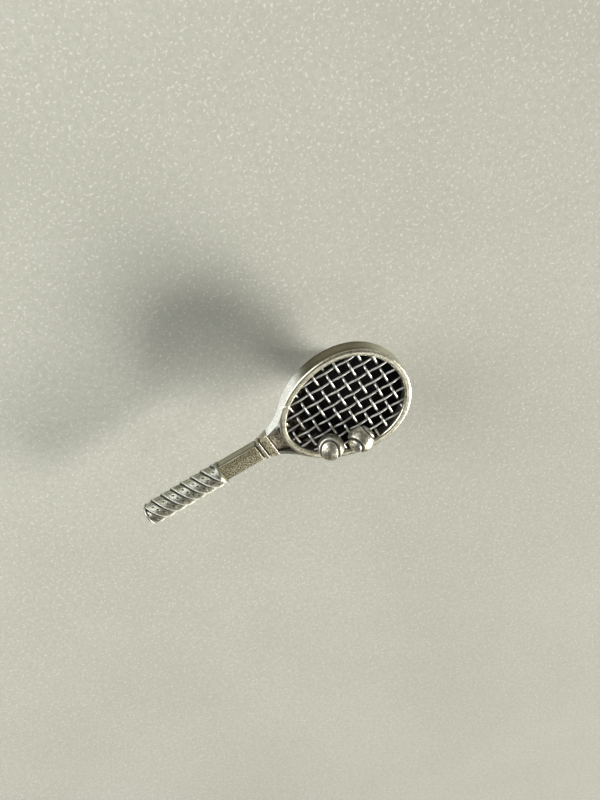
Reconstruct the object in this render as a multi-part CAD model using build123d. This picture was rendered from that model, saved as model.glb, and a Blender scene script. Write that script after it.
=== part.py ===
"""Racket-shaped tie tack with a locking pull clutch.

Row frame: millimetres, +Z up out of the racket's face, +X from the butt to the
head's tip, +Y across the racket.  The origin is where the tack post's axis
meets the plane of the racket's flat back (Z = 0), at the centre of the head.
The post and the clutch hang below the back, towards -Z.
"""
import math
import os

from build123d import *

# ---------------------------------------------------------------- head
HEAD_A_IN, HEAD_B_IN, HEAD_K_IN = 9.03, 7.33, 0.11      # hoop's inner outline: half length, half width, egg factor
HEAD_A_OUT, HEAD_B_OUT, HEAD_K_OUT = 10.06, 8.36, 0.10  # hoop's outer outline
HOOP_H = 2.90          # hoop depth, back to face
BACK_BEVEL_H = 0.74    # bevel along the hoop's back edge: height ...
BACK_BEVEL_W = 0.50    # ... and width
FACE_BEVEL = 0.24      # bevel of the face's edges
REBATE_W, REBATE_H = 0.20, 1.00    # step in the hoop that the back plate sits in
GROOVE_D, GROOVE_LO, GROOVE_HI = 0.25, 1.84, 2.56   # groove that holds the wire ends
PLATE_T = 0.70         # back plate thickness
PLATE_Z0 = REBATE_H - PLATE_T
PLATE_GAP = 0.03

# ---------------------------------------------------------------- strings
PITCH = 1.72           # mesh pitch
WIRE_D = 0.30
STRING_Z = 2.20        # middle plane of the woven mesh
WAVE_A = 0.19          # corner height of the wave, before its rounding
WAVE_R = 1.50          # rounding of the wave
CROSS_X = [(i + 2.15) * PITCH for i in range(-7, 3)]
MAIN_Y = [(2.67 - j) * PITCH for j in range(-1, 7)]

# ---------------------------------------------------------------- balls
BALL_R = 2.0
BALL_Z = 4.19
BALL_FLAT_Z = 2.56     # the balls are flatted where they sit on the mesh
BALL_1 = (-4.70, -3.70)
BALL_2 = (-0.40, -5.10)

# ---------------------------------------------------------------- throat and shaft
YOKE = [(-14.40, 1.43), (-13.50, 1.53), (-12.64, 1.74), (-11.78, 2.06), (-10.92, 2.44),
        (-10.06, 2.92), (-9.20, 3.52), (-8.40, 4.25), (-7.60, 5.05)]   # half widths along X
ARM_W = 0.52           # width of each throat arm
ARM_Z0, ARM_X0 = 1.66, -12.00      # arm top where it leaves the band ...
ARM_Z1, ARM_X1 = 2.86, -8.60       # ... and where it meets the hoop
THROAT_FLOOR = 1.10    # floor under the inlay
INLAY_Z = 1.50
SHAFT_W = 2.76
SHAFT_H = 1.60
BAND_PROUD = 0.12
RING_X = (-14.05, -13.50)
BAND_X = (-13.25, -12.00)

# ---------------------------------------------------------------- grip
GRIP_R = 1.88
GRIP_Z = 0.94          # axis height; the section is cut flat at the back
GRIP_X0, GRIP_X1 = -33.70, -21.25
COLLAR_X1 = -20.80
BUTT_X = -34.30
TANG_W, TANG_Z0, TANG_Z1, TANG_X0 = 1.80, 0.35, 1.35, -33.00
WRAP_PITCH = 1.79
WRAP_X0 = -32.27       # first wrap edge on the grip's top
WRAP_N = 7
WRAP_GROOVE_W, WRAP_GROOVE_D = 0.24, 0.22
WRAP_SLANT = 27.0      # degrees, seen from above

# ---------------------------------------------------------------- post
POST_R = 0.55
POST_TIP_Z = -7.70
POST_CONE = 1.30
NOTCH_Z = 1.92         # upper notch, just inside the clutch; the free wall ends here
NOTCH_L, NOTCH_R = 0.56, 0.38      # its length along the post, and its radius
PAD_R = 1.80
FOOT_R = 0.78          # the post's wider foot inside the pad

# ---------------------------------------------------------------- clutch
BASE_R, BASE_TOP, BASE_T = 5.00, -1.90, 0.50
HOUSING_R, HOUSING_BOT = 2.40, -7.00
BOSS_R = 1.60
CONE_TAN = 0.25        # slope of the cone: 0.25 mm of radius for 1 mm of height
LOCK_R = 0.50          # locking ball radius
LOCK_GAP = 0.03
LOCK_Z = -3.70
LOCK_C = POST_R + LOCK_R + LOCK_GAP
CONE_AT_BALL = LOCK_C + (LOCK_R + LOCK_GAP) * math.sqrt(1 + CONE_TAN ** 2)
CONE_TOP, CONE_BOT = -2.75, -4.90
CHAMBER_R = CONE_AT_BALL + CONE_TAN * (LOCK_Z - CONE_BOT)
CARRIER_BORE = 0.62
CARRIER_R, CARRIER_TOP = 1.22, -3.00
FLANGE_R, FLANGE_Z1, FLANGE_Z0 = 1.60, -4.50, -4.80
STEM_R, STEM_BOT = 0.95, -7.90
WASHER_Z1 = -6.70
SPRING_R, SPRING_WIRE, SPRING_TURNS = 1.25, 0.11, 4
SHELL_R_IN, SHELL_TOP, SHELL_BOT = 2.50, -3.10, -8.40


def egg_pts(a, b, k, n=40, off=0.0):
    """Points of the egg outline, moved out along the normal by off."""
    pts = []
    for i in range(n):
        t = 2 * math.pi * i / n
        x, y = a * math.cos(t), b * math.sin(t) * (1 + k * math.cos(t))
        dx = -a * math.sin(t)
        dy = b * (math.cos(t) * (1 + k * math.cos(t)) - k * math.sin(t) ** 2)
        m = math.hypot(dx, dy)
        pts.append((x + off * dy / m, y - off * dx / m))
    return pts


def closed_face(pts, z=0.0):
    edge = Spline(*[(x, y, z) for x, y in pts], periodic=True)
    return make_face([edge])


def egg(a, b, k, z0, z1, off=0.0):
    return extrude(closed_face(egg_pts(a, b, k, off=off), z0), amount=z1 - z0, dir=(0, 0, 1))


def egg_y(x, a, b, k):
    c = max(-1.0, min(1.0, x / a))
    return b * math.sqrt(max(0.0, 1 - c * c)) * (1 + k * c)


def egg_x_range(y, a, b, k):
    """Lowest and highest x of the egg outline at the height y."""
    lo = hi = None
    n = 4000
    for i in range(n + 1):
        x = -a + 2 * a * i / n
        if egg_y(x, a, b, k) >= abs(y):
            lo = x if lo is None else lo
            hi = x
    return lo, hi


def ring_profile(pts):
    """Solid of revolution about Z from (r, z) points."""
    face = make_face(Polyline(*[(r, 0, z) for r, z in pts], close=True))
    return revolve(face, Axis.Z, 360)


def box(x0, x1, y0, y1, z0, z1):
    return Pos((x0 + x1) / 2, (y0 + y1) / 2, (z0 + z1) / 2) * Box(x1 - x0, y1 - y0, z1 - z0)


# ================================================================ racket frame
outer_low = loft([closed_face(egg_pts(HEAD_A_OUT, HEAD_B_OUT, HEAD_K_OUT, off=-BACK_BEVEL_W), 0),
                  closed_face(egg_pts(HEAD_A_OUT, HEAD_B_OUT, HEAD_K_OUT), BACK_BEVEL_H)], ruled=True)
outer_mid = egg(HEAD_A_OUT, HEAD_B_OUT, HEAD_K_OUT, BACK_BEVEL_H, HOOP_H - FACE_BEVEL)
outer_top = loft([closed_face(egg_pts(HEAD_A_OUT, HEAD_B_OUT, HEAD_K_OUT), HOOP_H - FACE_BEVEL),
                  closed_face(egg_pts(HEAD_A_OUT, HEAD_B_OUT, HEAD_K_OUT, off=-FACE_BEVEL), HOOP_H)], ruled=True)
inner_top = loft([closed_face(egg_pts(HEAD_A_IN, HEAD_B_IN, HEAD_K_IN), HOOP_H - FACE_BEVEL),
                  closed_face(egg_pts(HEAD_A_IN, HEAD_B_IN, HEAD_K_IN, off=FACE_BEVEL), HOOP_H)], ruled=True)
head_solid = outer_low + outer_mid + outer_top
outer_full = egg(HEAD_A_OUT, HEAD_B_OUT, HEAD_K_OUT, -1, 6)

# throat: outline, its inner edge along the arms, and the base under the inlay
def yoke_face(z, inset=0.0):
    up = []
    n = len(YOKE)
    for i, (x, y) in enumerate(YOKE):
        a = YOKE[max(i - 1, 0)]
        b = YOKE[min(i + 1, n - 1)]
        tx, ty = b[0] - a[0], b[1] - a[1]
        m = math.hypot(tx, ty)
        up.append((x + inset * ty / m, y - inset * tx / m))
    if inset:
        up = [(up[0][0] - 1.0, up[0][1])] + up
    top = Spline(*[(x, y, z) for x, y in up])
    bot = Spline(*[(x, -y, z) for x, y in reversed(up)])
    right = Line((up[-1][0], up[-1][1], z), (up[-1][0], -up[-1][1], z))
    left = Line((up[0][0], -up[0][1], z), (up[0][0], up[0][1], z))
    return make_face([top, right, bot, left])


yoke_out = extrude(yoke_face(0), amount=HOOP_H - 0.04, dir=(0, 0, 1))
yoke_in = extrude(yoke_face(-1, ARM_W), amount=6, dir=(0, 0, 1))
arms = yoke_out - yoke_in - box(-20, ARM_X0, -6, 6, -1, 6)
slope = (ARM_Z1 - ARM_Z0) / (ARM_X1 - ARM_X0)
ramp_pts = [(ARM_X0 - 1.0, 0, ARM_Z0), (ARM_X0, 0, ARM_Z0), (ARM_X1, 0, ARM_Z1), (ARM_X1 + 3, 0, ARM_Z1),
            (ARM_X1 + 3, 0, 6), (ARM_X0 - 1.0, 0, 6)]
ramp = extrude(make_face(Polyline(*ramp_pts, close=True)), amount=8, both=True)
arms = arms - ramp
throat_base = extrude(yoke_face(0), amount=THROAT_FLOOR, dir=(0, 0, 1)) - box(-20, ARM_X0, -6, 6, -1, 6)
neck = extrude(yoke_face(0), amount=SHAFT_H, dir=(0, 0, 1)) & box(-14.40, ARM_X0, -6, 6, -1, 6)
shaft = box(COLLAR_X1, -14.30, -SHAFT_W / 2, SHAFT_W / 2, 0, SHAFT_H)
shaft = fillet(shaft.edges().filter_by(Axis.X).group_by(Axis.Z)[-1], 0.22)
tang = box(TANG_X0, COLLAR_X1 + 0.5, -TANG_W / 2, TANG_W / 2, TANG_Z0, TANG_Z1)

frame = head_solid + arms + throat_base
frame = frame - egg(HEAD_A_IN, HEAD_B_IN, HEAD_K_IN, -1, 6)
frame = frame - egg(HEAD_A_IN, HEAD_B_IN, HEAD_K_IN, -1, REBATE_H, off=REBATE_W)
frame = frame - egg(HEAD_A_IN, HEAD_B_IN, HEAD_K_IN, GROOVE_LO, GROOVE_HI, off=GROOVE_D)
frame = frame - inner_top
frame = frame + neck + shaft + tang

# ================================================================ throat inlay
inlay_region = yoke_in & box(ARM_X0, -7.0, -6, 6, THROAT_FLOOR, INLAY_Z)
inlay = inlay_region - outer_full

# ================================================================ neck bands
def saddle(x0, x1):
    """Band that wraps the top and the sides of the neck between two stations."""
    wide = extrude(yoke_face(0, -BAND_PROUD), amount=SHAFT_H + BAND_PROUD, dir=(0, 0, 1))
    return (wide & box(x0, x1, -6, 6, 0, 6)) - neck


neck_ring = saddle(*RING_X)
neck_band = saddle(*BAND_X)

# ================================================================ grip
def grip_section(x, r, zc=GRIP_Z):
    """D-shaped section: a circle cut flat at the back plane."""
    plane = Plane(origin=(x, 0, 0), x_dir=(0, 1, 0), z_dir=(1, 0, 0))
    circ = plane * (Pos(0, zc) * Circle(r))
    cut = plane * (Pos(0, 5.0) * Rectangle(12, 10))
    return circ & cut


def grip_body(x0, x1, r):
    return extrude(grip_section(x0, r), amount=x1 - x0, dir=(1, 0, 0))


def tang_hole(x0, x1):
    g = 0.03
    return box(x0, x1, -TANG_W / 2 - g, TANG_W / 2 + g, TANG_Z0 - g, TANG_Z1 + g)


sleeve = grip_body(GRIP_X0, GRIP_X1, GRIP_R) - tang_hole(GRIP_X0 - 1, GRIP_X1 + 1)
core = grip_body(GRIP_X0 - 1, GRIP_X1 + 1, GRIP_R - WRAP_GROOVE_D)
for n in range(WRAP_N):
    x = WRAP_X0 + n * WRAP_PITCH
    slab = Pos(x, 0, 1.6) * Rot(0, 0, WRAP_SLANT) * Box(WRAP_GROOVE_W, 9, 4)
    sleeve = sleeve - (slab - core)
collar = grip_body(GRIP_X1, COLLAR_X1, GRIP_R + 0.06) - tang_hole(GRIP_X1 - 1, COLLAR_X1 + 1)
butt = grip_body(BUTT_X, GRIP_X0, GRIP_R + 0.04)
end = [e for e in butt.edges() if abs(e.center().X - BUTT_X) < 1e-4]
butt = fillet(end, 0.3)

# ================================================================ back plate, pad, post
plate = egg(HEAD_A_IN, HEAD_B_IN, HEAD_K_IN, PLATE_Z0, REBATE_H, off=REBATE_W - PLATE_GAP)
pad = ring_profile([(FOOT_R + 0.02, PLATE_Z0), (PAD_R, PLATE_Z0), (PAD_R, 0.10),
                    (PAD_R - 0.10, 0), (FOOT_R + 0.02, 0)])
cone0 = POST_TIP_Z + POST_CONE
post = ring_profile([(0, PLATE_Z0), (FOOT_R, PLATE_Z0), (FOOT_R, 0), (POST_R, 0),
                     (POST_R, -NOTCH_Z), (NOTCH_R, -NOTCH_Z - 0.10), (NOTCH_R, -NOTCH_Z - NOTCH_L + 0.10),
                     (POST_R, -NOTCH_Z - NOTCH_L), (POST_R, -5.60), (POST_R - 0.08, -5.68),
                     (POST_R - 0.08, -5.86), (POST_R, -5.94), (POST_R, cone0),
                     (0.10, POST_TIP_Z + 0.05), (0, POST_TIP_Z)])

# ================================================================ woven strings
def wave_z(s, s0, over0):
    """Corner heights alternate along the wire; straight between them."""
    u = (s - s0) / PITCH
    i = math.floor(u)
    a = WAVE_A if (i % 2 == 0) == over0 else -WAVE_A
    return a + (u - i) * (-2 * a)


def wire(stations, lo, hi, over0, to_point):
    """Wire through its crossings, from lo to hi, as runs joined by tangent arcs."""
    s0 = stations[0]
    corners = [s0 + PITCH * i for i in range(-3, len(stations) + 4)]
    inner = [c for c in corners if lo + 0.16 < c < hi - 0.16]
    ss = [lo] + inner + [hi]
    pts = [to_point(s, STRING_Z + wave_z(s, s0, over0)) for s in ss]
    radii = [WAVE_R if min(c - lo, hi - c) > 0.5 else 0.4 for c in inner]
    path = FilletPolyline(*pts, radius=radii)
    start = path @ 0
    prof = Plane(origin=start, z_dir=path % 0) * Circle(WIRE_D / 2)
    return sweep(prof, path=path)


mains, crosses = [], []
for j, y in zip(range(-1, 7), MAIN_Y):
    x_lo, x_hi = egg_x_range(y, HEAD_A_IN, HEAD_B_IN, HEAD_K_IN)
    over0 = (-7 + j) % 2 != 0            # a main lies on top where i + j is odd
    mains.append(wire(CROSS_X, x_lo - 0.12, x_hi + 0.12, over0, lambda s, z, y=y: (s, y, z)))
for i, x in zip(range(-7, 3), CROSS_X):
    h = egg_y(x, HEAD_A_IN, HEAD_B_IN, HEAD_K_IN) + 0.12
    ys = list(reversed(MAIN_Y))          # from low Y to high Y: j = 6 first
    over0 = (i + 6) % 2 == 0             # a cross wire lies on top where i + j is even
    crosses.append(wire(ys, -h, h, over0, lambda s, z, x=x: (x, s, z)))
main_strings = Compound(children=mains)
cross_strings = Compound(children=crosses)

# ================================================================ tennis balls
def ball(cx, cy):
    b = Pos(cx, cy, BALL_Z) * Sphere(BALL_R)
    return b - box(cx - 3, cx + 3, cy - 3, cy + 3, BALL_FLAT_Z - 3, BALL_FLAT_Z)


ball_1 = ball(*BALL_1)
ball_2 = ball(*BALL_2)

# ================================================================ clutch
base = ring_profile([(BOSS_R, BASE_TOP), (BASE_R - 0.35, BASE_TOP), (BASE_R, BASE_TOP - 0.35),
                     (BASE_R, BASE_TOP - 0.80), (BASE_R - 0.30, BASE_TOP - 0.80),
                     (BASE_R - 0.45, BASE_TOP - BASE_T), (BOSS_R, BASE_TOP - BASE_T)])
housing = ring_profile([(0.75, BASE_TOP), (BOSS_R, BASE_TOP), (BOSS_R, BASE_TOP - BASE_T),
                        (HOUSING_R, BASE_TOP - BASE_T), (HOUSING_R, HOUSING_BOT + 0.15),
                        (HOUSING_R - 0.15, HOUSING_BOT), (CHAMBER_R, HOUSING_BOT), (CHAMBER_R, CONE_BOT),
                        (CONE_AT_BALL + CONE_TAN * (LOCK_Z - CONE_TOP), CONE_TOP), (0.75, CONE_TOP)])
washer = ring_profile([(STEM_R + 0.10, HOUSING_BOT), (CHAMBER_R - 0.02, HOUSING_BOT),
                       (CHAMBER_R - 0.02, WASHER_Z1), (STEM_R + 0.10, WASHER_Z1)])
carrier = ring_profile([(CARRIER_BORE, CARRIER_TOP), (CARRIER_R - 0.10, CARRIER_TOP),
                        (CARRIER_R, CARRIER_TOP - 0.10), (CARRIER_R, FLANGE_Z1), (FLANGE_R, FLANGE_Z1),
                        (FLANGE_R, FLANGE_Z0), (STEM_R, FLANGE_Z0), (STEM_R, STEM_BOT),
                        (CARRIER_BORE, STEM_BOT)])
lock_balls = []
for n, ang in enumerate((90, 210, 330)):
    ca, sa = math.cos(math.radians(ang)), math.sin(math.radians(ang))
    pl = Plane(origin=(0, 0, LOCK_Z), z_dir=(ca, sa, 0))
    carrier = carrier - extrude(pl * Circle(LOCK_R + 0.04), amount=2.0)
    lock_balls.append(Pos(LOCK_C * ca, LOCK_C * sa, LOCK_Z) * Sphere(LOCK_R))
spring_h = (FLANGE_Z0 - SPRING_WIRE - 0.01) - (WASHER_Z1 + SPRING_WIRE + 0.01)
helix = Helix(pitch=spring_h / SPRING_TURNS, height=spring_h, radius=SPRING_R,
              center=(0, 0, WASHER_Z1 + SPRING_WIRE + 0.01))
spring = sweep(Plane(origin=helix @ 0, z_dir=helix % 0) * Circle(SPRING_WIRE), path=helix)
shell = ring_profile([(SHELL_R_IN, SHELL_TOP), (3.20, SHELL_TOP), (3.40, SHELL_TOP - 0.20),
                      (3.40, SHELL_TOP - 0.55), (3.05, SHELL_TOP - 0.95), (3.05, -6.90), (3.40, -7.30),
                      (3.40, -7.75), (3.20, -8.15), (2.80, SHELL_BOT), (0, SHELL_BOT), (0, STEM_BOT),
                      (SHELL_R_IN, STEM_BOT)])

# ================================================================ write the nodes
nodes = {
    "racket_frame": frame,
    "throat_inlay": inlay,
    "neck_ring": neck_ring,
    "neck_band": neck_band,
    "main_strings": main_strings,
    "cross_strings": cross_strings,
    "ball_1": ball_1,
    "ball_2": ball_2,
    "grip_sleeve": sleeve,
    "grip_collar": collar,
    "butt_cap": butt,
    "back_plate": plate,
    "post_pad": pad,
    "tack_post": post,
    "clutch_base": base,
    "cone_housing": housing,
    "spring_washer": washer,
    "clutch_spring": spring,
    "ball_carrier": carrier,
    "clutch_shell": shell,
    "lock_ball_1": lock_balls[0],
    "lock_ball_2": lock_balls[1],
    "lock_ball_3": lock_balls[2],
}
os.makedirs("parts", exist_ok=True)
for name, shape in nodes.items():
    export_step(shape, "parts/%s.step" % name)
    bb = shape.bounding_box()
    print("%-14s solids %2d  volume %9.3f  x %7.2f %7.2f  y %6.2f %6.2f  z %6.2f %6.2f" % (
        name, len(shape.solids()), shape.volume, bb.min.X, bb.max.X, bb.min.Y, bb.max.Y, bb.min.Z, bb.max.Z))
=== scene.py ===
import math

import bpy
import numpy as np
from mathutils import Matrix, Vector


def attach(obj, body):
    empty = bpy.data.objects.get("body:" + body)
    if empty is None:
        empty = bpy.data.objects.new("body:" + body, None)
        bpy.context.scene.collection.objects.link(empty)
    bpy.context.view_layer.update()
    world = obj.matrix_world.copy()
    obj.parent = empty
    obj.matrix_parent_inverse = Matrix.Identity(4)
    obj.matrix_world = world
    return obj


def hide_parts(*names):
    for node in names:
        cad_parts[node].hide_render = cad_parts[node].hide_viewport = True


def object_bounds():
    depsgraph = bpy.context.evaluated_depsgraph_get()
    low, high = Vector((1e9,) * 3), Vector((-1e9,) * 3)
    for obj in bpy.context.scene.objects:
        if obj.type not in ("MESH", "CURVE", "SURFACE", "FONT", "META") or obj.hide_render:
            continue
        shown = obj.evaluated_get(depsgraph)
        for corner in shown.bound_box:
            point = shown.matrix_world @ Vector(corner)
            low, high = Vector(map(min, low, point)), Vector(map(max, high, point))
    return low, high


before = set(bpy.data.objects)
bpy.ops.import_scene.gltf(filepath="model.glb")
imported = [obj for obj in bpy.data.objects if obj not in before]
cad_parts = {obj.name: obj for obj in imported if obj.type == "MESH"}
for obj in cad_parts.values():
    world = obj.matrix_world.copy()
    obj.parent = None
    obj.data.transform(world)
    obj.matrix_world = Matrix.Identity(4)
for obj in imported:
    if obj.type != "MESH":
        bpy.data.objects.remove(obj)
cad_lo, cad_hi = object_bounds()
MM = 0.001

# ------------------------------------------------------------------ sizes, mm
HEAD_IN = (9.03, 7.33, 0.11)
HEAD_OUT = (10.06, 8.36, 0.10)
HOOP_H = 2.90
PITCH = 1.72
CROSS_X = [(i + 2.15) * PITCH for i in range(-7, 3)]
MAIN_Y = [(2.67 - j) * PITCH for j in range(-1, 7)]
STRING_Z, MAIN_A, CROSS_A, MAIN_R, CROSS_R = 2.20, 0.085, 0.245, 0.150, 0.178
BALL_R, BALL_Z, BALL_FLAT = 2.0, 4.19, 2.56
BALL_1, BALL_2 = (-4.70, -3.70), (-0.40, -5.10)
YOKE = [(-14.40, 1.43), (-13.50, 1.53), (-12.64, 1.74), (-11.78, 2.06), (-10.92, 2.44),
        (-10.06, 2.92), (-9.20, 3.52), (-8.40, 4.25), (-7.60, 5.05)]
ARM_W = 0.52
GRIP_R, GRIP_Z = 1.88, 0.94
WRAP_X0, WRAP_PITCH, WRAP_TURN = -32.27, 1.79, 7.16 / 360.0

# ------------------------------------------------------------------ camera axes, used only to set the camera
CAM_AT = Vector((7.44, 50.19, 81.22)) * MM
CAM_RIGHT = np.array((0.85383041, -0.49706306, 0.15460253))
CAM_UP = np.array((0.50333165, 0.71257646, -0.48876583))
CAM_BACK = np.array((0.13278131, 0.49513948, 0.85860702))


# ------------------------------------------------------------------ helpers
TAB = np.random.RandomState(11).rand(8192)


def hash3(i, j, k):
    return TAB[((i * 73856093) ^ (j * 19349663) ^ (k * 83492791)) & 8191]


def vnoise(p, cycles):
    """Smooth value noise, 0 to 1, with that many cycles to the mm."""
    q = p * cycles + 37.3
    i = np.floor(q).astype(np.int64)
    f = q - i
    f = f * f * (3 - 2 * f)
    out = 0.0
    for a in (0, 1):
        wa = f[:, 0] if a else 1 - f[:, 0]
        for b in (0, 1):
            wb = f[:, 1] if b else 1 - f[:, 1]
            for c in (0, 1):
                wc = f[:, 2] if c else 1 - f[:, 2]
                out = out + wa * wb * wc * hash3(i[:, 0] + a, i[:, 1] + b, i[:, 2] + c)
    return out


def fbm(p, cycles, octaves=3):
    total, amp, norm = 0.0, 1.0, 0.0
    for o in range(octaves):
        total = total + amp * vnoise(p + 5.1 * o, cycles * 2 ** o)
        norm += amp
        amp *= 0.5
    return total / norm


def step01(x, a, b):
    t = np.clip((x - a) / (b - a), 0, 1)
    return t * t * (3 - 2 * t)


def round_and(a, b, r):
    u, v = np.maximum(r + a, 0), np.maximum(r + b, 0)
    return np.minimum(-r, np.maximum(a, b)) + np.sqrt(u * u + v * v)


def round_or(a, b, r):
    u, v = np.maximum(r - a, 0), np.maximum(r - b, 0)
    return np.maximum(r, np.minimum(a, b)) - np.sqrt(u * u + v * v)


def egg_g(x, y, a, b, k):
    c = x / a
    w = b * np.maximum(1 + k * c, 0.2)
    q = y / w
    m = np.sqrt(c * c + q * q) + 1e-9
    gx = (c / a - q * y / (w * w) * b * k / a) / m
    gy = (q / w) / m
    n = np.sqrt(gx * gx + gy * gy) + 1e-9
    return (m - 1) / n, gx / n, gy / n


def egg_d(x, y, a, b, k):
    """Signed distance to the egg outline, negative inside."""
    d, nx, ny = egg_g(x, y, a, b, k)
    d = np.clip(d, -4, 4)
    e, _, _ = egg_g(x - d * nx, y - d * ny, a, b, k)
    return d + e


YX = np.array([p[0] for p in YOKE])
YFIT = np.polyfit(YX, [p[1] for p in YOKE], 5)
YDER = np.polyder(YFIT)


def yoke_d(x, y):
    xc = np.clip(x, -14.4, -7.4)
    hw, sl = np.polyval(YFIT, xc), np.polyval(YDER, xc)
    return (np.abs(y) - hw) / np.sqrt(1 + sl * sl)


def nets(sdf, lo, hi, h, steps=3):
    """Closed mesh of a signed distance field on a grid of cells h wide, its points moved onto the surface."""
    ax = [np.arange(lo[i] - h, hi[i] + 2 * h, h) for i in range(3)]
    nx, ny, nz = (len(a) for a in ax)
    v = np.empty((nx, ny, nz), np.float32)
    Y, Z = np.meshgrid(ax[1], ax[2], indexing="ij")
    for i in range(nx):
        v[i] = sdf(np.full(Y.size, ax[0][i]), Y.ravel(), Z.ravel()).reshape(Y.shape)
    s = v < 0
    c = sum(s[a:nx - 1 + a, b:ny - 1 + b, d:nz - 1 + d].astype(np.int8) for a in (0, 1) for b in (0, 1) for d in (0, 1))
    cells = np.argwhere((c > 0) & (c < 8))
    index = -np.ones((nx - 1, ny - 1, nz - 1), np.int64)
    index[cells[:, 0], cells[:, 1], cells[:, 2]] = np.arange(len(cells))
    corners = [(a, b, d) for a in (0, 1) for b in (0, 1) for d in (0, 1)]
    val = {k: v[cells[:, 0] + k[0], cells[:, 1] + k[1], cells[:, 2] + k[2]].astype(float) for k in corners}
    acc, cnt = np.zeros((len(cells), 3)), np.zeros(len(cells))
    for k in corners:
        for axis in range(3):
            if k[axis]:
                continue
            k2 = tuple(1 if i == axis else k[i] for i in range(3))
            cross = (val[k] < 0) != (val[k2] < 0)
            t = np.where(cross, val[k] / np.where(cross, val[k] - val[k2], 1), 0)
            q = np.tile(np.array(k, float), (len(cells), 1))
            q[:, axis] += t
            acc[cross] += q[cross]
            cnt[cross] += 1
    p = (cells + acc / np.maximum(cnt, 1)[:, None]) * h + np.array([a[0] for a in ax])
    e = 0.004
    for _ in range(steps):
        f = sdf(p[:, 0], p[:, 1], p[:, 2])
        g = np.stack([sdf(p[:, 0] + e, p[:, 1], p[:, 2]) - f, sdf(p[:, 0], p[:, 1] + e, p[:, 2]) - f,
                      sdf(p[:, 0], p[:, 1], p[:, 2] + e) - f], 1) / e
        g2 = (g * g).sum(1)
        move = np.where(g2[:, None] > 0.05, -(f / np.maximum(g2, 0.05))[:, None] * g, 0)
        n = np.linalg.norm(move, axis=1)
        p += move * np.minimum(1, 0.4 * h / np.maximum(n, 1e-9))[:, None]
    faces = []
    for axis in range(3):
        b, d = [(1, 2), (2, 0), (0, 1)][axis]
        n = [nx, ny, nz]
        sl0, sl1 = [slice(None)] * 3, [slice(None)] * 3
        sl0[axis], sl1[axis] = slice(0, n[axis] - 1), slice(1, n[axis])
        change = s[tuple(sl0)] != s[tuple(sl1)]
        at = np.argwhere(change)
        keep = (at[:, b] > 0) & (at[:, d] > 0) & (at[:, b] < n[b] - 1) & (at[:, d] < n[d] - 1)
        at = at[keep]
        first = s[at[:, 0], at[:, 1], at[:, 2]]
        quad = []
        for ob, od in ((1, 1), (0, 1), (0, 0), (1, 0)):
            q = at.copy()
            q[:, b] -= ob
            q[:, d] -= od
            quad.append(index[q[:, 0], q[:, 1], q[:, 2]])
        quad = np.stack(quad, 1)
        quad[~first] = quad[~first][:, ::-1]
        faces.append(quad)
    return p, np.concatenate(faces)


def add(name, verts, faces, body, nodes, mat, hollow_and_shade=None, wear_and_highlight=None, patina_and_shade=None, grit=None, frost_and_highlight=None,
        flat_angle=None):
    """A piece in mm: it rides on its body and stands for its CAD nodes. Its faces look outwards."""
    v = np.asarray(verts)
    loops = [list(map(int, f)) for f in faces]
    fan = np.array([(f[0], f[k], f[k + 1]) for f in loops for k in range(1, len(f) - 1)])
    if np.einsum("ij,ij->i", v[fan[:, 0]], np.cross(v[fan[:, 1]], v[fan[:, 2]])).sum() < 0:
        loops = [f[::-1] for f in loops]
    me = bpy.data.meshes.new(name)
    me.from_pydata((v * MM).tolist(), [], loops)
    me.validate()
    me.update()
    for key, data in (("hollow_and_shade", hollow_and_shade), ("wear_and_highlight", wear_and_highlight), ("patina_and_shade", patina_and_shade), ("grit", grit), ("frost_and_highlight", frost_and_highlight)):
        at = me.attributes.new(key, "FLOAT", "POINT")
        values = np.zeros(len(me.vertices), np.float32)
        if data is not None:
            values[:] = np.clip(data, 0, 1)
        at.data.foreach_set("value", values)
    me.polygons.foreach_set("use_smooth", [True] * len(me.polygons))
    if flat_angle:
        me.set_sharp_from_angle(angle=math.radians(flat_angle))
    ob = bpy.data.objects.new(name, me)
    bpy.context.scene.collection.objects.link(ob)
    me.materials.append(mat)
    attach(ob, body)
    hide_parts(*nodes)
    return ob


def grid_faces(rows, cols, wrap=True, flip=False):
    """Quads of a rows x cols grid of points; the columns close round."""
    i, j = np.meshgrid(np.arange(rows - 1), np.arange(cols if wrap else cols - 1), indexing="ij")
    i, j = i.ravel(), j.ravel()
    j2 = (j + 1) % cols
    q = np.stack([i * cols + j, i * cols + j2, (i + 1) * cols + j2, (i + 1) * cols + j], 1)
    return q[:, ::-1] if flip else q


def lathe(profile, n=96, wobble=None):
    """Closed solid of revolution about Z from an outline of (r, z) points; wobble(r, z, angle) changes the radius."""
    prof = np.array(profile, float)
    th = np.linspace(0, 2 * np.pi, n, endpoint=False)
    rings, faces, at = [], [], []
    count = 0
    for r, z in prof:
        if r < 1e-6:
            rings.append(np.array([[0, 0, z]]))
        else:
            rr = np.full(n, r) if wobble is None else r + wobble(r, z, th)
            rings.append(np.stack([rr * np.cos(th), rr * np.sin(th), np.full(n, z)], 1))
        at.append(count)
        count += len(rings[-1])
    m = len(prof)
    closed = not (prof[0][0] < 1e-6 and prof[-1][0] < 1e-6)
    for a in range(m if closed else m - 1):
        b = (a + 1) % m
        la, lb = len(rings[a]), len(rings[b])
        for j in range(n):
            k = (j + 1) % n
            if la == 1 and lb == 1:
                continue
            if la == 1:
                faces.append((at[a], at[b] + j, at[b] + k))
            elif lb == 1:
                faces.append((at[a] + j, at[b], at[a] + k))
            else:
                faces.append((at[a] + j, at[b] + j, at[b] + k, at[a] + k))
    return np.concatenate(rings), faces


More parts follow.
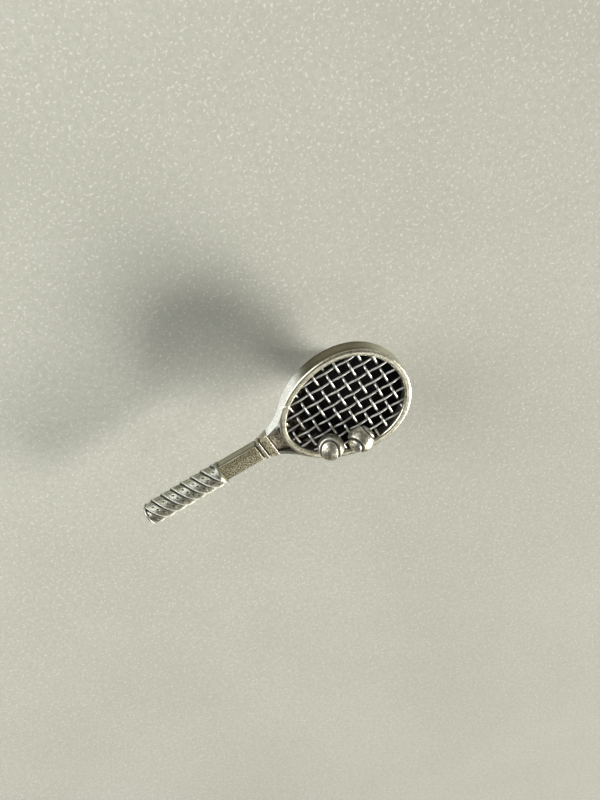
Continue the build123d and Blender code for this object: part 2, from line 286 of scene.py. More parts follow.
def fine(points, r=0.08, seg=4, close=False):
    """The outline with its corners rounded by about r."""
    pts = [np.array(p, float) for p in points]
    out = []
    n = len(pts)
    for i, p in enumerate(pts):
        if not close and i in (0, n - 1):
            out.append(p)
            continue
        a, b = pts[i - 1] - p, pts[(i + 1) % n] - p
        la, lb = np.linalg.norm(a), np.linalg.norm(b)
        c = min(r, 0.45 * la, 0.45 * lb)
        if p[0] < 1e-6 or c < 1e-4:
            out.append(p)
            continue
        s, e = p + a / la * c, p + b / lb * c
        for t in np.linspace(0, 1, seg + 1):
            out.append((1 - t) ** 2 * s + 2 * t * (1 - t) * p + t * t * e)
    return out


# ------------------------------------------------------------------ materials
def srgb(*c):
    return tuple((x / 12.92 if x <= 0.04045 else ((x + 0.055) / 1.055) ** 2.4) for x in (v / 255 for v in c)) + (1.0,)


class Nodes:
    def __init__(self, name):
        self.mat = bpy.data.materials.new(name)
        self.mat.use_nodes = True
        self.t = self.mat.node_tree
        self.bsdf = self.t.nodes["Principled BSDF"]
        self.obj = self.t.nodes.new("ShaderNodeTexCoord").outputs["Object"]

    def link(self, a, b):
        self.t.links.new(a, b)

    def noise(self, scale, detail=4.0, rough=0.6, distort=0.0, stretch=None):
        n = self.t.nodes.new("ShaderNodeTexNoise")
        n.inputs["Scale"].default_value = scale
        n.inputs["Detail"].default_value = detail
        n.inputs["Roughness"].default_value = rough
        n.inputs["Distortion"].default_value = distort
        src = self.obj
        if stretch:
            m = self.t.nodes.new("ShaderNodeMapping")
            m.inputs["Scale"].default_value = stretch
            self.link(src, m.inputs["Vector"])
            src = m.outputs["Vector"]
        self.link(src, n.inputs["Vector"])
        return n.outputs["Fac"]

    def cells(self, scale, rand=1.0):
        n = self.t.nodes.new("ShaderNodeTexVoronoi")
        n.inputs["Scale"].default_value = scale
        n.inputs["Randomness"].default_value = rand
        self.link(self.obj, n.inputs["Vector"])
        return n.outputs["Distance"]

    def math(self, op, a, b=None, clamp=False):
        n = self.t.nodes.new("ShaderNodeMath")
        n.operation = op
        n.use_clamp = clamp
        for i, x in enumerate((a, b)):
            if x is None:
                continue
            if isinstance(x, (int, float)):
                n.inputs[i].default_value = x
            else:
                self.link(x, n.inputs[i])
        return n.outputs[0]

    def ramp(self, x, a, b, lo=0.0, hi=1.0):
        n = self.t.nodes.new("ShaderNodeMapRange")
        n.interpolation_type = "SMOOTHSTEP"
        for key, v in (("From Min", a), ("From Max", b), ("To Min", lo), ("To Max", hi)):
            n.inputs[key].default_value = v
        self.link(x, n.inputs["Value"])
        return n.outputs["Result"]

    def mix(self, f, a, b):
        n = self.t.nodes.new("ShaderNodeMix")
        n.data_type = "RGBA"
        for sock, x in ((n.inputs[0], f), (n.inputs[6], a), (n.inputs[7], b)):
            if isinstance(x, (tuple, int, float)):
                sock.default_value = x
            else:
                self.link(x, sock)
        return n.outputs[2]

    def attr(self, name):
        n = self.t.nodes.new("ShaderNodeAttribute")
        n.attribute_name = name
        return n.outputs["Fac"]

    def shade(self, distance, inside=False):
        n = self.t.nodes.new("ShaderNodeAmbientOcclusion")
        n.samples = 6
        n.inside = inside
        n.inputs["Distance"].default_value = distance
        return n.outputs["AO"]

    def bump(self, height, strength, distance, normal=None):
        n = self.t.nodes.new("ShaderNodeBump")
        n.inputs["Strength"].default_value = strength
        n.inputs["Distance"].default_value = distance
        self.link(height, n.inputs["Height"])
        if normal is not None:
            self.link(normal, n.inputs["Normal"])
        return n.outputs["Normal"]

    def out(self, color=None, rough=None, metal=None, normal=None):
        for key, x in (("Base Color", color), ("Roughness", rough), ("Metallic", metal), ("Normal", normal)):
            if x is None:
                continue
            if isinstance(x, (tuple, int, float)):
                self.bsdf.inputs[key].default_value = x
            else:
                self.link(x, self.bsdf.inputs[key])
        return self.mat


def antique(name, bright, mid, dark, rough=0.30, grain=0.35, grain_size=9000.0, ao=0.0007, patina_shade_tint=None, spots=0.35,
            gritty=(srgb(36, 31, 18), srgb(214, 206, 172)), worn=srgb(244, 242, 232)):
    """Antiqued silver: polished on its high points, oxidised in its hollows, with cast grain; its point attributes also
    paint highlights and shade into the colour.
    """
    k = Nodes(name)
    big = k.noise(420.0, 4.0, 0.6)
    small = k.noise(2600.0, 5.0, 0.65)
    speck = k.noise(7000.0, 3.0, 0.7)
    fine_grain = k.noise(grain_size, 3.0, 0.6)
    hollow_and_shade, wear_and_highlight, patina_and_shade, grit, frost_and_highlight = (k.attr(a) for a in ("hollow_and_shade", "wear_and_highlight", "patina_and_shade", "grit", "frost_and_highlight"))
    tone = k.ramp(k.math("ADD", k.math("MULTIPLY", big, 0.5), k.math("MULTIPLY", small, 0.5)), 0.38, 0.62)
    col = k.mix(tone, mid, bright)
    col = k.mix(k.math("MULTIPLY", k.ramp(speck, 0.52, 0.70), spots), col, dark)
    if patina_shade_tint:
        sand = k.noise(5000.0, 2.0, 0.6)
        col = k.mix(grit, col, k.mix(k.ramp(sand, 0.42, 0.58), gritty[0], gritty[1]))
        # patina tint: real patina, plus painted shade and painted dark reflections where a piece asks for them
        col = k.mix(k.math("MULTIPLY", patina_and_shade, k.ramp(small, 0.2, 0.6, 0.75, 1.0), clamp=True), col, patina_shade_tint)
        # near-white frosted colour: painted highlight on the sides that face the lamps
        col = k.mix(k.math("MULTIPLY", frost_and_highlight, k.ramp(sand, 0.40, 0.54, 0.15, 1.0)), col, srgb(254, 255, 253))
    hollow = k.ramp(k.shade(ao), 0.25, 0.85, 1.0, 0.0)
    hollow = k.math("MAXIMUM", k.math("MULTIPLY", hollow, k.ramp(small, 0.25, 0.65, 0.75, 1.0)), hollow_and_shade, clamp=True)
    # dark in the hollows: oxide, plus painted shade where a piece asks for it
    col = k.mix(hollow, col, dark)
    # polished colour: worn high points, plus painted highlights where a piece asks for them
    col = k.mix(k.math("MULTIPLY", wear_and_highlight, k.ramp(small, 0.25, 0.6, 0.55, 1.0), clamp=True), col, worn)
    r = k.math("ADD", k.math("MULTIPLY", small, 0.22), rough - 0.10)
    r = k.math("ADD", r, k.math("MULTIPLY", hollow, 0.35))
    r = k.math("ADD", r, k.math("MULTIPLY", patina_and_shade, 0.12))
    r = k.math("ADD", r, k.math("MULTIPLY", grit, 0.10))
    r = k.math("ADD", r, k.math("MULTIPLY", frost_and_highlight, 0.30))
    r = k.math("SUBTRACT", r, k.math("MULTIPLY", wear_and_highlight, 0.10), clamp=True)
    metal = k.math("MULTIPLY", k.ramp(hollow, 0.3, 1.0, 1.0, 0.45), k.ramp(frost_and_highlight, 0.0, 1.0, 1.0, 0.30))
    nrm = k.bump(fine_grain, grain, 0.00003)
    nrm = k.bump(small, 0.30, 0.00008, nrm)
    if patina_shade_tint:
        nrm = k.bump(k.math("MULTIPLY", sand, k.math("MAXIMUM", grit, k.math("MULTIPLY", frost_and_highlight, 0.7))), 0.6, 0.00006, nrm)
    return k.out(col, r, metal, nrm)


SILVER = (srgb(226, 223, 206), srgb(190, 186, 165), srgb(38, 33, 26))
# the frame's polished colour also carries its painted highlights, and its patina tint its painted shade
M_frame = antique("antique_silver_frame", *SILVER, rough=0.30, grain=0.35, patina_shade_tint=srgb(104, 98, 74), worn=srgb(246, 242, 218))
M_band = antique("antique_silver_bands", srgb(214, 209, 190), srgb(176, 168, 144), srgb(36, 30, 23), rough=0.34, grain=0.5,
                 patina_shade_tint=srgb(112, 103, 80))
M_wire = antique("antique_silver_wire", srgb(246, 246, 242), srgb(222, 221, 214), srgb(30, 28, 25), rough=0.38,
                 grain=0.3, ao=0.00025, spots=0.15, patina_shade_tint=srgb(92, 86, 78))
M_ball = antique("antique_silver_ball", srgb(232, 231, 218), srgb(188, 184, 162), srgb(20, 17, 12), rough=0.33,
                 grain=0.9, ao=0.0009, patina_shade_tint=srgb(120, 108, 84))
M_grip = antique("antique_silver_grip", srgb(206, 206, 193), srgb(146, 146, 130), srgb(20, 17, 13), rough=0.40,
                 grain=0.6, ao=0.0006, patina_shade_tint=srgb(112, 111, 94), gritty=(srgb(84, 76, 56), srgb(214, 209, 190)))


def oxide(name, a, b, c, rough, scale, depth, metal=0.45, flecks=0.25):
    """Blackened metal: matte and lumpy, with worn flecks."""
    k = Nodes(name)
    lumps = k.noise(scale, 6.0, 0.68, 0.4)
    pits = k.cells(scale * 2.4)
    speck = k.noise(scale * 5.0, 4.0, 0.7)
    hollow_and_shade, wear_and_highlight = k.attr("hollow_and_shade"), k.attr("wear_and_highlight")
    col = k.mix(k.ramp(lumps, 0.35, 0.65), a, b)
    col = k.mix(k.math("MULTIPLY", k.ramp(speck, 0.60, 0.74), flecks), col, c)
    col = k.mix(k.math("MULTIPLY", wear_and_highlight, k.ramp(lumps, 0.35, 0.6), clamp=True), col, c)
    col = k.mix(hollow_and_shade, col, srgb(12, 10, 8))
    r = k.math("SUBTRACT", k.ramp(lumps, 0.3, 0.7, rough + 0.1, rough - 0.1), k.math("MULTIPLY", wear_and_highlight, 0.2), clamp=True)
    nrm = k.bump(lumps, 0.7, depth)
    nrm = k.bump(pits, 0.35, depth * 0.4, nrm)
    return k.out(col, r, metal, nrm)


M_inlay = oxide("throat_oxide_brown", srgb(84, 76, 62), srgb(180, 168, 142), srgb(236, 230, 210), 0.46, 2600.0, 0.00024,
                metal=0.55, flecks=0.6)
M_plate = oxide("blackened_back_plate", srgb(3, 3, 3), srgb(9, 8, 7), srgb(168, 148, 126), 0.72, 1500.0, 0.00018,
                metal=0.0, flecks=0.04)
M_plate.node_tree.nodes["Principled BSDF"].inputs["Specular IOR Level"].default_value = 0.12


def turned(name, bright, mid, rough, lines=26000.0, depth=0.000012):
    """Machined or plated metal, with fine turning lines across its axis and faint handling marks."""
    k = Nodes(name)
    ring = k.noise(900.0, 5.0, 0.7, 0.0, (0.04, 0.04, lines / 900.0))
    smear = k.noise(260.0, 5.0, 0.6, 0.3)
    scr = k.noise(1500.0, 3.0, 0.5, 0.0, (14.0, 0.6, 0.6))
    col = k.mix(k.ramp(smear, 0.35, 0.65), mid, bright)
    # darker brown and rougher in crevices, as the ambient occlusion node finds them
    crevice_dark = k.ramp(k.shade(0.0006), 0.2, 0.8, 0.85, 0.0)
    col = k.mix(crevice_dark, col, srgb(52, 46, 38))
    r = k.math("ADD", k.math("MULTIPLY", smear, 0.20), k.math("MULTIPLY", scr, 0.10))
    r = k.math("ADD", r, k.math("ADD", k.math("MULTIPLY", crevice_dark, 0.3), rough - 0.14), clamp=True)
    nrm = k.bump(ring, 0.5, depth)
    nrm = k.bump(scr, 0.15, depth, nrm)
    return k.out(col, r, 1.0, nrm)


M_post = turned("drawn_steel_post", srgb(206, 206, 206), srgb(170, 171, 172), 0.26)
M_nickel = turned("nickel_plate", srgb(224, 221, 214), srgb(192, 188, 180), 0.20)
M_brass = turned("turned_brass", srgb(220, 186, 110), srgb(184, 148, 82), 0.28)
M_spring = turned("spring_wire_steel", srgb(170, 172, 176), srgb(130, 132, 136), 0.30)
M_bearing = turned("bearing_steel", srgb(228, 228, 230), srgb(206, 207, 210), 0.12, depth=0.000004)

# ------------------------------------------------------------------ racket frame
ARM_TOP = ((-12.0, 1.66), (-8.6, 2.86))


def frame_sdf(x, y, z):
    d_out, d_in = egg_d(x, y, *HEAD_OUT), egg_d(x, y, *HEAD_IN)
    s = (d_out + d_in) / 2
    top = z - (HOOP_H - 0.10 * np.clip(s / 0.5, -1, 1) ** 2)
    bevel = (d_out * 0.74 + 0.5 * -z) / math.hypot(0.74, 0.5)
    outer = round_and(round_and(d_out, top, 0.24), round_and(bevel, -z, 0.10), 0.12)
    rebate = np.where(z < 1.0, 0.20, 0.0)
    hoop = round_and(outer, -(d_in - rebate), 0.20)
    yd = yoke_d(x, y)
    ax = np.clip(x, -12.0, -8.6)
    ramp = 1.66 + (ax + 12.0) * (2.86 - 1.66) / 3.4
    arm = round_and(round_and(np.abs(yd + ARM_W / 2) - ARM_W / 2, z - ramp, 0.12), -z, 0.08)
    arm = np.maximum(np.maximum(arm, -12.05 - x), x + 6.6)
    floor = np.maximum(np.maximum(round_and(yd, -z, 0.08), z - 1.10), np.maximum(-12.05 - x, x + 6.6))
    throat = np.maximum(np.minimum(arm, floor), -(d_in - rebate))
    neck = round_and(round_and(yd, z - 1.60, 0.08), -z, 0.06)
    neck = np.maximum(np.maximum(neck, -14.42 - x), x + 11.95)
    for a, b in ((-14.38, -14.05), (-13.52, -13.23)):      # the two dark grooves beside the ring
        cut = np.maximum(np.abs(x - (a + b) / 2) - (b - a) / 2, -np.maximum(yd + 0.16, z - 1.42))
        neck = np.maximum(neck, -cut)
    side = np.abs(y) - 1.38
    shaft = round_and(round_and(side, z - 1.60, 0.14), -z, 0.06)
    shaft = np.maximum(np.maximum(shaft, -21.2 - x), x + 14.36)
    body = np.minimum(np.minimum(throat, neck), shaft)
    return round_or(hoop, body, 0.10)


p, f = nets(frame_sdf, (-21.2, -8.42, 0.0), (10.08, 8.42, 2.92), 0.085)
d_out, d_in = egg_d(p[:, 0], p[:, 1], *HEAD_OUT), egg_d(p[:, 0], p[:, 1], *HEAD_IN)
grain = fbm(p, 1.6, 3)
cast = fbm(p, 5.0, 2)
ang = np.degrees(np.arctan2(p[:, 1], p[:, 0]))
hoop_zone = step01(p[:, 0], -10.4, -9.4)
wall = step01(-(d_out), 0.10, 0.0) * step01(p[:, 2], 2.84, 2.55) * hoop_zone      # outer wall
shaded = step01(ang, 20, 55) * (1 - step01(ang, 98, 124))                           # its stretch that reflects the shadowed floor: a painted dark reflection
inner = step01(d_in, 0.12, 0.0) * step01(p[:, 2], 2.80, 2.45)
top_shaft = step01(p[:, 2], 1.50, 1.58) * step01(p[:, 0], -14.3, -14.4) * step01(-np.abs(p[:, 1]), -1.36, -1.22)
blot = fbm(p, 0.9, 3)
# painted dark reflection on the outer wall's upper stretch
patina_and_shade = 0.9 * wall * shaded
# shaft top: random patina blots, painted shade towards its +Y side, a painted lighter stretch towards -Y, and darker
# towards the grip end
dim = 0.85 * step01(p[:, 1] + 0.9 * (blot - 0.5), -0.2, 1.2) + 0.5 * step01(-p[:, 0], 19.0, 21.1) - 0.3 * step01(-p[:, 1], 0.5, 1.2)
side_wall = step01(p[:, 1], 1.22, 1.34) * (p[:, 0] < -14.3) * step01(-p[:, 2], -1.60, -1.50)
patina_and_shade = np.maximum(patina_and_shade, np.clip(top_shaft * dim, 0, 0.5))
# shaft side wall: painted dark reflection, darkest at its top and bottom edges with a lighter band between
patina_and_shade = np.maximum(patina_and_shade, side_wall * (0.42 + 0.5 * step01(p[:, 2], 0.45, 0.05) + 0.5 * step01(p[:, 2], 1.00, 1.5)))
side_dark = side_wall * np.maximum(step01(p[:, 2], 0.30, 0.0), step01(p[:, 2], 1.25, 1.5))
# darker grainy patches on the rim top's upper-left stretch
rim_upper_left_dark = hoop_zone * step01(p[:, 2], 2.62, 2.78) * step01(ang, 75, 110) * (1 - step01(ang, 165, 179)) * step01(grain, 0.30, 0.60)
patina_and_shade = np.maximum(patina_and_shade, 0.45 * rim_upper_left_dark)
grit = np.maximum(top_shaft * 0.95, 0.30 * hoop_zone * step01(p[:, 2], 2.70, 2.82) * (0.5 + step01(-p[:, 0], -2.0, 6.0)))
# painted highlight: the outer wall's left stretch and the +Y arm's wall are whitened as if catching a bright window, on
# a frosted finish
left = step01(ang, 100, 126) * wall
arm_wall = step01(yoke_d(p[:, 0], p[:, 1]), -0.10, -0.01) * step01(p[:, 1], 0.5, 1.5) * (p[:, 0] > -12.1) * (p[:, 0] < -6.8)
frost_and_highlight = np.clip(np.maximum(left, arm_wall) * (0.75 + 0.5 * blot), 0, 1)
# the hoop's inner wall darkened as oxide with painted shade; the outer wall's upper stretch gets painted shade towards
# its foot and in a band near its top
hollow_and_shade = np.maximum(0.85 * inner, 0.40 * wall * shaded * np.maximum(step01(p[:, 2], 0.9, 0.2), np.exp(-((p[:, 2] - 2.25) / 0.25) ** 2)))
# painted shade along the shaft side wall's top and bottom edges
hollow_and_shade = np.maximum(hollow_and_shade, 0.6 * side_dark)
neck_groove = ((p[:, 0] > -14.36) & (p[:, 0] < -14.06)) | ((p[:, 0] > -13.50) & (p[:, 0] < -13.24))
hollow_and_shade = np.where(neck_groove, 0.95, hollow_and_shade)
# inner walls of the arms darkened: painted shade over oxide in the recess
inside_arm = step01(-yoke_d(p[:, 0], p[:, 1]), 0.44, 0.51) * (p[:, 0] > -12.0) * (p[:, 0] < -7.4) * (p[:, 2] < 2.6)
hollow_and_shade = np.maximum(hollow_and_shade, 0.85 * inside_arm * step01(d_out, -0.02, 0.1))
mid = np.abs((d_out + d_in) / 2)
# rim edges polished as worn high points, with a painted highlight growing towards +X, the lamp side
wear_and_highlight = 0.75 * step01(p[:, 2], 2.62, 2.78) * step01(mid, 0.20, 0.40) * hoop_zone * (0.55 + 0.45 * step01(grain, 0.30, 0.70)) * (0.75 + 0.25 * step01(p[:, 0], -4.0, 4.0))
wear_and_highlight = np.maximum(wear_and_highlight, 0.36 * step01(p[:, 2], 2.80, 2.86) * hoop_zone * step01(grain, 0.35, 0.60))
nrm_push = (cast - 0.5) * 0.018
p = p + np.stack([np.zeros(len(p)), np.zeros(len(p)), np.where(p[:, 2] > 0.2, nrm_push, 0)], 1)
p[:, 2] = np.clip(p[:, 2], 0.0, HOOP_H)
p[:, 1] = np.clip(p[:, 1], cad_lo[1] / MM, cad_hi[1] / MM)
add("racket_frame_cast", p, f, "racket", ["racket_frame"], M_frame, hollow_and_shade=hollow_and_shade, wear_and_highlight=wear_and_highlight, patina_and_shade=patina_and_shade,
    grit=grit, frost_and_highlight=frost_and_highlight)


# ------------------------------------------------------------------ neck ring and band
def saddle(x0, x1):
    def sdf(x, y, z):
        out = round_and(round_and(yoke_d(x, y) - 0.12, z - 1.72, 0.16), -z, 0.05)
        out = round_and(out, np.abs(x - (x0 + x1) / 2) - (x1 - x0) / 2, 0.09)
        return np.maximum(out, -np.maximum(yoke_d(x, y), z - 1.60))
    return nets(sdf, (x0, -2.3, 0), (x1, 2.3, 1.74), 0.05)


for name, node, span in (("neck_ring_bead", "neck_ring", (-14.05, -13.50)), ("neck_band_wide", "neck_band", (-13.25, -12.00))):
    p, f = saddle(*span)
    e = step01(np.abs(p[:, 0] - sum(span) / 2), (span[1] - span[0]) / 2 - 0.10, (span[1] - span[0]) / 2 - 0.02)
    g = fbm(p, 2.5, 3)
    p[:, 2] = np.where(p[:, 2] > 0.1, p[:, 2] - 0.03 * fbm(p, 4.0, 2), p[:, 2])
    add(name, p, f, "racket", [node], M_band, wear_and_highlight=0.55 * e * step01(p[:, 2], 1.4, 1.6) * g * 1.6,
        patina_and_shade=0.20 * step01(g, 0.4, 0.6), grit=0.85 * step01(p[:, 2], 1.45, 1.6) * (1 - e) * (0.6 + 0.6 * g))


# ------------------------------------------------------------------ throat inlay
def inlay_sdf(x, y, z):
    q = np.stack([x, y, z * 0], 1)
    lump = 0.16 * (fbm(q, 2.2, 3) - 0.5) + 0.05 * (vnoise(q, 7.0) - 0.5)
    top = z - (1.42 + np.clip(lump, -0.1, 0.075))
    d = np.maximum(yoke_d(x, y) + ARM_W, np.maximum(top, 1.12 - z))
    d = np.maximum(d, -12.0 - x)
    return np.maximum(d, -egg_d(x, y, *HEAD_OUT))


p, f = nets(inlay_sdf, (-12.0, -3.0, 1.10), (-9.0, 3.0, 1.52), 0.045)
# painted shadow in the corner by the -Y arm, and painted shade along the hoop and at the band end
corner = step01(-p[:, 1], 0.5, 1.6) * step01(-yoke_d(p[:, 0], p[:, 1]), 1.15, 0.55)
near = step01(egg_d(p[:, 0], p[:, 1], *HEAD_OUT), 0.35, 0.0)
add("throat_inlay_rough", p, f, "racket", ["throat_inlay"], M_inlay,
    hollow_and_shade=np.maximum(np.maximum(corner, 0.8 * near), 0.9 * step01(-p[:, 0], 11.72, 11.9)),
    wear_and_highlight=step01(p[:, 2], 1.43, 1.49) * 0.9)


# ------------------------------------------------------------------ woven strings
def egg_span_y(x, a, b, k):
    c = max(-1.0, min(1.0, x / a))
    return b * math.sqrt(max(0.0, 1 - c * c)) * (1 + k * c)


def egg_span_x(y, a, b, k):
    xs = np.linspace(-a, a, 8001)
    h = b * np.sqrt(np.maximum(0, 1 - (xs / a) ** 2)) * (1 + k * xs / a)
    ok = xs[h >= abs(y)]
    return ok[0], ok[-1]


def tube(path, radius, n=14):
    """Capped tube along points; the wire's top is worn slightly flat."""
    t = np.gradient(path, axis=0)
    t /= np.linalg.norm(t, axis=1)[:, None]
    up = np.array([0, 0, 1.0])
    side = np.cross(up, t)
    side /= np.linalg.norm(side, axis=1)[:, None]
    nrm = np.cross(t, side)
    th = np.linspace(0, 2 * np.pi, n, endpoint=False)
    c, s = np.cos(th), np.sin(th)
    s = np.minimum(s, 0.90)
    r = radius * (1 + 0.06 * (fbm(path, 1.7, 2) - 0.5))
    pts = path[:, None] + r[:, None, None] * (c[None, :, None] * side[:, None] + s[None, :, None] * nrm[:, None])
    m = len(path)
    faces = [tuple(q) for q in grid_faces(m, n)]
    faces.append(tuple(range(n - 1, -1, -1)))
    faces.append(tuple((m - 1) * n + j for j in range(n)))
    return pts.reshape(-1, 3), faces, np.tile(s, m)


def weave(name, node, wires, radius, amp, dull):
    vs, fs, hollow_and_shade, wear_and_highlight, patina_and_shade, base = [], [], [], [], [], 0
    for w, path in enumerate(wires):
        pts, faces, s = tube(path, radius)
        vs.append(pts)
        fs += [tuple(i + base for i in q) for q in faces]
        base += len(pts)
        z = np.repeat(path[:, 2], 14)
        # the dips under the crossing wires darken as oxide with painted shade, and each wire's underside as painted
        # shade
        dip = step01(z, STRING_Z - 0.3 * amp, STRING_Z - 0.95 * amp)
        rise = step01(z, STRING_Z - 0.5 * amp, STRING_Z + 0.5 * amp)
        low = step01(s, -0.1, -0.6)
        g = fbm(pts, 1.1, 2)
        hollow_and_shade.append(np.maximum(dull * 0.55 * dip, 0.85 * low))
        wear_and_highlight.append((0.95 * rise if dull else 0.28) * step01(s, 0.1, 0.7) * (0.4 + g))
        patina_and_shade.append((0.35 + 0.5 * dull) * dip + 0.3 * step01(g, 0.52, 0.72) + 0.22 * (1 - dull))
    return add(name, np.concatenate(vs), fs, "racket", [node], M_wire, hollow_and_shade=np.concatenate(hollow_and_shade),
               wear_and_highlight=np.concatenate(wear_and_highlight), patina_and_shade=np.concatenate(patina_and_shade))


crosses, mains = [], []
for i, x in zip(range(-7, 3), CROSS_X):
    h = egg_span_y(x, *HEAD_IN) + 0.12
    y = np.linspace(-h, h, max(8, int(2 * h / 0.07)))
    j = 2.67 - y / PITCH                                   # on top where i + j is even
    z = STRING_Z + CROSS_A * np.tanh(2.0 * np.cos(np.pi * (i + j)) + 0.15) / math.tanh(2.15)
    drift = 0.05 * (fbm(np.stack([np.full(len(y), x), y, 0 * y], 1), 0.25, 2) - 0.5)
    crosses.append(np.stack([x + drift, y, z], 1))
for j, y in zip(range(-1, 7), MAIN_Y):
    x0, x1 = egg_span_x(y, *HEAD_IN)
    x = np.linspace(x0 - 0.12, x1 + 0.12, max(8, int((x1 - x0) / 0.07)))
    i = x / PITCH - 2.15
    z = STRING_Z - MAIN_A * np.cos(np.pi * (i + j))
    drift = 0.05 * (fbm(np.stack([x, np.full(len(x), y), 0 * x], 1), 0.25, 2) - 0.5)
    mains.append(np.stack([x, y + drift, z], 1))
weave("main_strings_woven", "main_strings", mains, MAIN_R, MAIN_A, 0.0)
weave("cross_strings_woven", "cross_strings", crosses, CROSS_R, CROSS_A, 1.0)


# ------------------------------------------------------------------ tennis balls
def seam_points(n=900):
    t = np.linspace(0, 2 * np.pi, n, endpoint=False)
    a, b = 0.75, 0.25
    q = np.stack([a * np.cos(t) + b * np.cos(3 * t), a * np.sin(t) - b * np.sin(3 * t), 2 * math.sqrt(a * b) * np.sin(2 * t)], 1)
    return q / np.linalg.norm(q, axis=1)[:, None]


def frame3(a, b):
    a = np.array(a, float) / np.linalg.norm(a)
    b = np.array(b, float) - np.dot(a, b) * a
    b /= np.linalg.norm(b)
    return np.stack([a, b, np.cross(a, b)], 1)


def quad_sphere(n=56):
    vs, fs, base = [], [], 0
    u = np.tan(np.linspace(-np.pi / 4, np.pi / 4, n + 1))
    A, B = np.meshgrid(u, u, indexing="ij")
    for axis in range(3):
        for sgn in (1, -1):
            q = np.zeros((A.size, 3))
            q[:, axis] = sgn
            q[:, (axis + 1) % 3] = A.ravel() * sgn
            q[:, (axis + 2) % 3] = B.ravel()
            vs.append(q / np.linalg.norm(q, axis=1)[:, None])
            fs.append(grid_faces(n + 1, n + 1, wrap=False, flip=False) + base)
            base += len(q)
    v, f = np.concatenate(vs), np.concatenate(fs)
    key = np.round(v * 1e5).astype(np.int64)
    _, first, inv = np.unique(key, axis=0, return_index=True, return_inverse=True)
    return v[first], inv.ravel()[f]


SPHERE_V, SPHERE_F = quad_sphere()


def tennis_ball(name, node, centre, turn):
    v = SPHERE_V
    seam = seam_points() @ turn.T
    d = np.empty(len(v))
    for a in range(0, len(v), 4000):
        d[a:a + 4000] = np.arccos(np.clip((v[a:a + 4000] @ seam.T).max(1), -1, 1)) * BALL_R
    groove = np.exp(-(d / 0.20) ** 2)
    lip = np.exp(-((d - 0.33) / 0.10) ** 2)
    g = fbm(v * BALL_R + centre[0], 3.0, 3)
    r = BALL_R - 0.03 - 0.22 * groove + 0.028 * lip - 0.02 * g
    p = v * r[:, None] + np.array([centre[0], centre[1], BALL_Z])
    p[:, 2] = np.maximum(p[:, 2], BALL_FLAT)
    # painted contact shadow on the ball's bottom, where it sits on the strings
    low = step01(p[:, 2], 3.3, 2.7)
    return add(name, p, SPHERE_F, "racket", [node], M_ball, hollow_and_shade=np.maximum(groove ** 1.2, 0.75 * low),
               wear_and_highlight=0.7 * lip, patina_and_shade=0.6 * step01(g, 0.44, 0.62), grit=0.25 * step01(g, 0.40, 0.60))


AXES = np.stack([CAM_RIGHT, CAM_UP, CAM_BACK], 1)
m1 = np.array([-0.16, -0.42, 0.893])
turn1 = AXES @ frame3(m1, (-0.06, 1.0, 0.2)) @ frame3((1, 1, 0), (0, 0, 1)).T
m2 = np.array([0.167, 0.167, 0.972])
turn2 = AXES @ frame3(m2, (0.707, -0.707, 0)) @ frame3((0, 0, 1), (1, -1, 0)).T
tennis_ball("ball_1_seamed", "ball_1", BALL_1, turn1)
tennis_ball("ball_2_seamed", "ball_2", BALL_2, turn2)


# ------------------------------------------------------------------ grip, collar and butt: D sections along X
def d_rings(xs, radius, n):
    """Rings of a round section cut flat at the back. radius(theta, x) gives the radius."""
    th = np.linspace(0, 2 * np.pi, n, endpoint=False)
    X, T = np.meshgrid(xs, th, indexing="ij")
    r = radius(T, X)
    y, z = r * np.cos(T), GRIP_Z + r * np.sin(T)
    return np.stack([X, y, np.maximum(z, 0.0)], -1).reshape(-1, 3), T.ravel(), X.ravel(), r.ravel()


def capped(rows, n):
    faces = [tuple(q) for q in grid_faces(rows, n, flip=False)]
    faces.append(tuple(range(n - 1, -1, -1)))
    faces.append(tuple((rows - 1) * n + j for j in range(n)))
    return faces


def wrap_u(T, X):
    deg = np.degrees(T)
    deg = np.where(deg > 270, deg - 360, deg)
    line = WRAP_X0 + WRAP_TURN * (deg - 90)
    return np.mod(X - line, WRAP_PITCH), np.floor((X - line) / WRAP_PITCH), deg


def wrap_height(T, X):
    u, n, deg = wrap_u(T, X)
    back = np.minimum(u, WRAP_PITCH - u)
    groove = np.exp(-((WRAP_PITCH - u - 0.11) / 0.13) ** 2) + np.exp(-((u + 0.11) / 0.13) ** 2)
    crest = np.exp(-((u - 0.14) / 0.13) ** 2)
    slope = -0.17 * np.clip(u / WRAP_PITCH, 0, 1)
    dot = np.zeros_like(T)
    centre = 0.98
    for a in range(-60, 260, 24):
        ddeg = deg - a
        du = u - centre
        dist2 = (ddeg * math.radians(1) * GRIP_R) ** 2 + (du + 0.0 * ddeg) ** 2
        dot = np.maximum(dot, np.exp(-dist2 / 0.11 ** 2))
    return groove, crest, slope, dot, u


def grip_radius(T, X):
    groove, crest, slope, dot, u = wrap_height(T, X)
    butt = step01(X, -33.75, -32.9)
    return GRIP_R - 0.05 + slope - 0.17 * np.minimum(groove, 1) + 0.05 * crest - 0.11 * dot - 0.17 * (1 - butt)


NTH = 264
xs = np.linspace(-33.70, -21.26, 276)
p, T, X, R = d_rings(xs, grip_radius, NTH)
groove, crest, slope, dot, u = wrap_height(T, X)
g = fbm(p, 2.2, 3)
top = np.sin(T)
hollow_and_shade = np.maximum(np.minimum(1.3 * groove, 1) ** 0.7, step01(dot, 0.15, 0.5))
# painted highlight on the grip's lower-right side, which faces the lamps
lamp_side_highlight = step01(T, 2.05, 2.50) * step01(-T, -3.9, -3.4)
# polished crests as worn high points, plus the painted highlight on the lamp side
wear_and_highlight = np.maximum(crest * (0.75 + 0.6 * g) * step01(top, -0.4, 0.0), 0.85 * lamp_side_highlight * step01(g, 0.35, 0.55)) * (1 - np.minimum(groove, 1))
